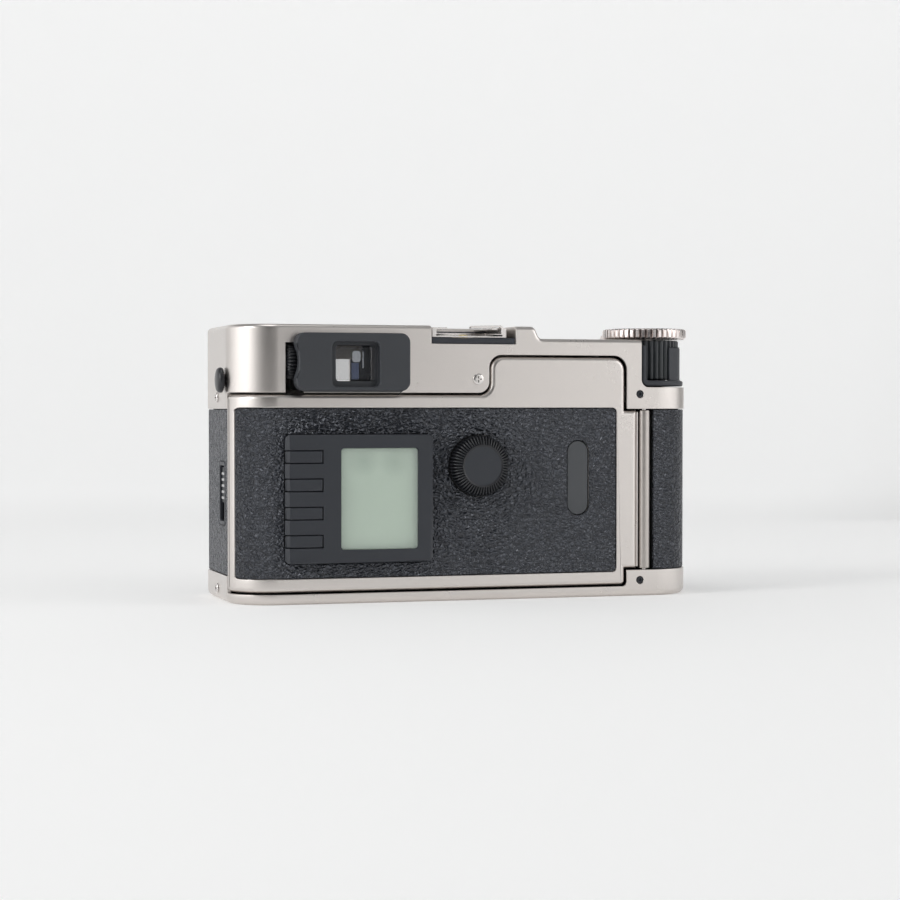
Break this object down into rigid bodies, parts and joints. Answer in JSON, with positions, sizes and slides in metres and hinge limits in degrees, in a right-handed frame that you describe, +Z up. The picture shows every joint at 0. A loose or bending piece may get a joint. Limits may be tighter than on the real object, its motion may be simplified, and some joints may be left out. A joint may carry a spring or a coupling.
{
  "type": "35 mm film compact camera",
  "caption": "Metal-bodied 35 mm zoom compact film camera with a hinged back door, eyepiece, back display with keys, accessory shoe and top dials.",
  "frame": {"origin": "middle of the object's box in plan, on the ground under the base", "axes": "+Y is the way the lens looks, +X is the holder's right hand, +Z is up"},
  "size_m": [0.1362, 0.0528, 0.0748],
  "materials": {
    "champagne_metal": "satin, fine bead blast, warm champagne grey",
    "steel": "polished and satin bare metal",
    "black_plastic": "black, fine spark-eroded texture",
    "dark_frame": "flat black",
    "leatherette": "coarse pebbled grain, nearly black",
    "smoked_window": "dark smoked",
    "clear_window": "clear, coated",
    "lcd_grey_green": "grey-green reflective panel",
    "brass": "plated contact",
    "board_green": "coated circuit board"
  },
  "bodies": {
    "camera_body": {"top_cover": "champagne_metal", "bottom_cover": "champagne_metal", "body_shell": "dark_frame", "body_leather": "leatherette", "chassis": "dark_frame", "dial_cradle": "black_plastic", "eyepiece_housing": "black_plastic", "eyepiece_lens": "clear_window", "viewfinder_tube": "dark_frame", "viewfinder_window": "clear_window", "flash_reflector": "steel", "flash_window": "clear_window", "autofocus_window": "smoked_window", "hot_shoe_base": "black_plastic", "hot_shoe_rails": "steel", "hot_shoe_spring": "steel", "hot_shoe_contact": "brass", "release_collar": "champagne_metal", "back_screw": "steel", "side_screw_upper_left": "steel", "side_screw_lower_left": "steel", "side_screw_upper_right": "steel", "side_screw_lower_right": "steel", "strap_stud_left": "black_plastic", "strap_stud_right": "black_plastic", "hinge_set_screw_upper": "dark_frame", "hinge_set_screw_lower": "dark_frame", "tripod_socket": "steel", "battery": "steel", "circuit_board": "board_green", "lens_ring": "black_plastic", "latch_plate": "black_plastic", "hinge_pin": "steel"},
    "door": {"door_shell": "champagne_metal", "door_leather": "leatherette", "hinge_barrel": "champagne_metal", "lcd_bezel": "black_plastic", "lcd_window": "clear_window", "lcd_panel": "lcd_grey_green", "film_window": "smoked_window", "door_inner_plate": "dark_frame"},
    "inner_barrel_group": {"inner_barrel": "black_plastic", "front_lens": "clear_window", "shutter_unit": "dark_frame"},
    "pressure_plate_body": {"pressure_plate": "dark_frame"},
    "lcd_button_1_body": {"lcd_button_1": "black_plastic"},
    "lcd_button_2_body": {"lcd_button_2": "black_plastic"},
    "lcd_button_3_body": {"lcd_button_3": "black_plastic"},
    "lcd_button_4_body": {"lcd_button_4": "black_plastic"},
    "back_dial_body": {"back_dial": "black_plastic"},
    "diopter_wheel_body": {"diopter_wheel": "black_plastic"},
    "speed_dial_body": {"speed_dial": "steel"},
    "exposure_drum_body": {"exposure_drum": "black_plastic"},
    "release_button_body": {"release_button": "steel"},
    "latch_slider_body": {"latch_slider": "black_plastic"},
    "outer_barrel_body": {"outer_barrel": "black_plastic"},
    "take_up_spool_body": {"take_up_spool": "black_plastic"},
    "sprocket_shaft_body": {"sprocket_shaft": "black_plastic"},
    "rewind_fork_body": {"rewind_fork": "black_plastic"},
    "battery_cap_body": {"battery_cap": "steel"}
  },
  "joints": [
    {"name": "door_swing", "type": "hinge", "parent": "camera_body", "child": "door", "pos_m": [0.0505, -0.0202, 0.03], "axis": [0, 0, 1], "range_deg": [0, 100]},
    {"name": "pressure_plate_give", "type": "slide", "parent": "door", "child": "pressure_plate_body", "axis": [0, -1, 0], "range_m": [0, 0.0006], "stiffness_N_per_m": 300, "springref_m": -0.001},
    {"name": "lcd_button_1_press", "type": "slide", "parent": "door", "child": "lcd_button_1_body", "axis": [0, 1, 0], "range_m": [0, 0.0005], "stiffness_N_per_m": 400},
    {"name": "lcd_button_2_press", "type": "slide", "parent": "door", "child": "lcd_button_2_body", "axis": [0, 1, 0], "range_m": [0, 0.0005], "stiffness_N_per_m": 400},
    {"name": "lcd_button_3_press", "type": "slide", "parent": "door", "child": "lcd_button_3_body", "axis": [0, 1, 0], "range_m": [0, 0.0005], "stiffness_N_per_m": 400},
    {"name": "lcd_button_4_press", "type": "slide", "parent": "door", "child": "lcd_button_4_body", "axis": [0, 1, 0], "range_m": [0, 0.0005], "stiffness_N_per_m": 400},
    {"name": "back_dial_turn", "type": "hinge", "parent": "door", "child": "back_dial_body", "pos_m": [0.0015, -0.0222, 0.0366], "axis": [0, 1, 0], "continuous": true},
    {"name": "diopter_turn", "type": "hinge", "parent": "camera_body", "child": "diopter_wheel_body", "pos_m": [-0.05, -0.0186, 0.0646], "axis": [1, 0, 0], "range_deg": [-150, 150]},
    {"name": "speed_dial_turn", "type": "hinge", "parent": "camera_body", "child": "speed_dial_body", "pos_m": [0.0546, -0.0102, 0.073], "axis": [0, 0, 1], "range_deg": [-150, 150]},
    {"name": "exposure_drum_turn", "type": "hinge", "parent": "camera_body", "child": "exposure_drum_body", "pos_m": [0.0546, -0.0102, 0.066], "axis": [0, 0, 1], "range_deg": [-40, 40]},
    {"name": "release_press", "type": "slide", "parent": "camera_body", "child": "release_button_body", "axis": [0, 0, -1], "range_m": [0, 0.001], "stiffness_N_per_m": 300},
    {"name": "latch_slide", "type": "slide", "parent": "camera_body", "child": "latch_slider_body", "axis": [0, 0, -1], "range_m": [0, 0.004], "stiffness_N_per_m": 60, "springref_m": -0.002},
    {"name": "outer_barrel_slide", "type": "slide", "parent": "camera_body", "child": "outer_barrel_body", "axis": [0, 1, 0], "range_m": [0, 0.01]},
    {"name": "inner_barrel_slide", "type": "slide", "parent": "outer_barrel_body", "child": "inner_barrel_group", "axis": [0, 1, 0], "range_m": [0, 0.008]},
    {"name": "take_up_turn", "type": "hinge", "parent": "camera_body", "child": "take_up_spool_body", "pos_m": [-0.046, -0.0042, 0.027], "axis": [0, 0, 1], "continuous": true},
    {"name": "sprocket_turn", "type": "hinge", "parent": "camera_body", "child": "sprocket_shaft_body", "pos_m": [-0.0275, -0.0115, 0.027], "axis": [0, 0, 1], "continuous": true},
    {"name": "rewind_turn", "type": "hinge", "parent": "camera_body", "child": "rewind_fork_body", "pos_m": [0.0305, -0.0047, 0.057], "axis": [0, 0, 1], "continuous": true},
    {"name": "battery_cap_turn", "type": "hinge", "parent": "camera_body", "child": "battery_cap_body", "pos_m": [0.053, 0.0038, 0.0008], "axis": [0, 0, 1], "range_deg": [0, 90]}
  ],
  "couplings": [
    {"joint": "inner_barrel_slide", "follows": "outer_barrel_slide", "ratio": 0.8}
  ]
}
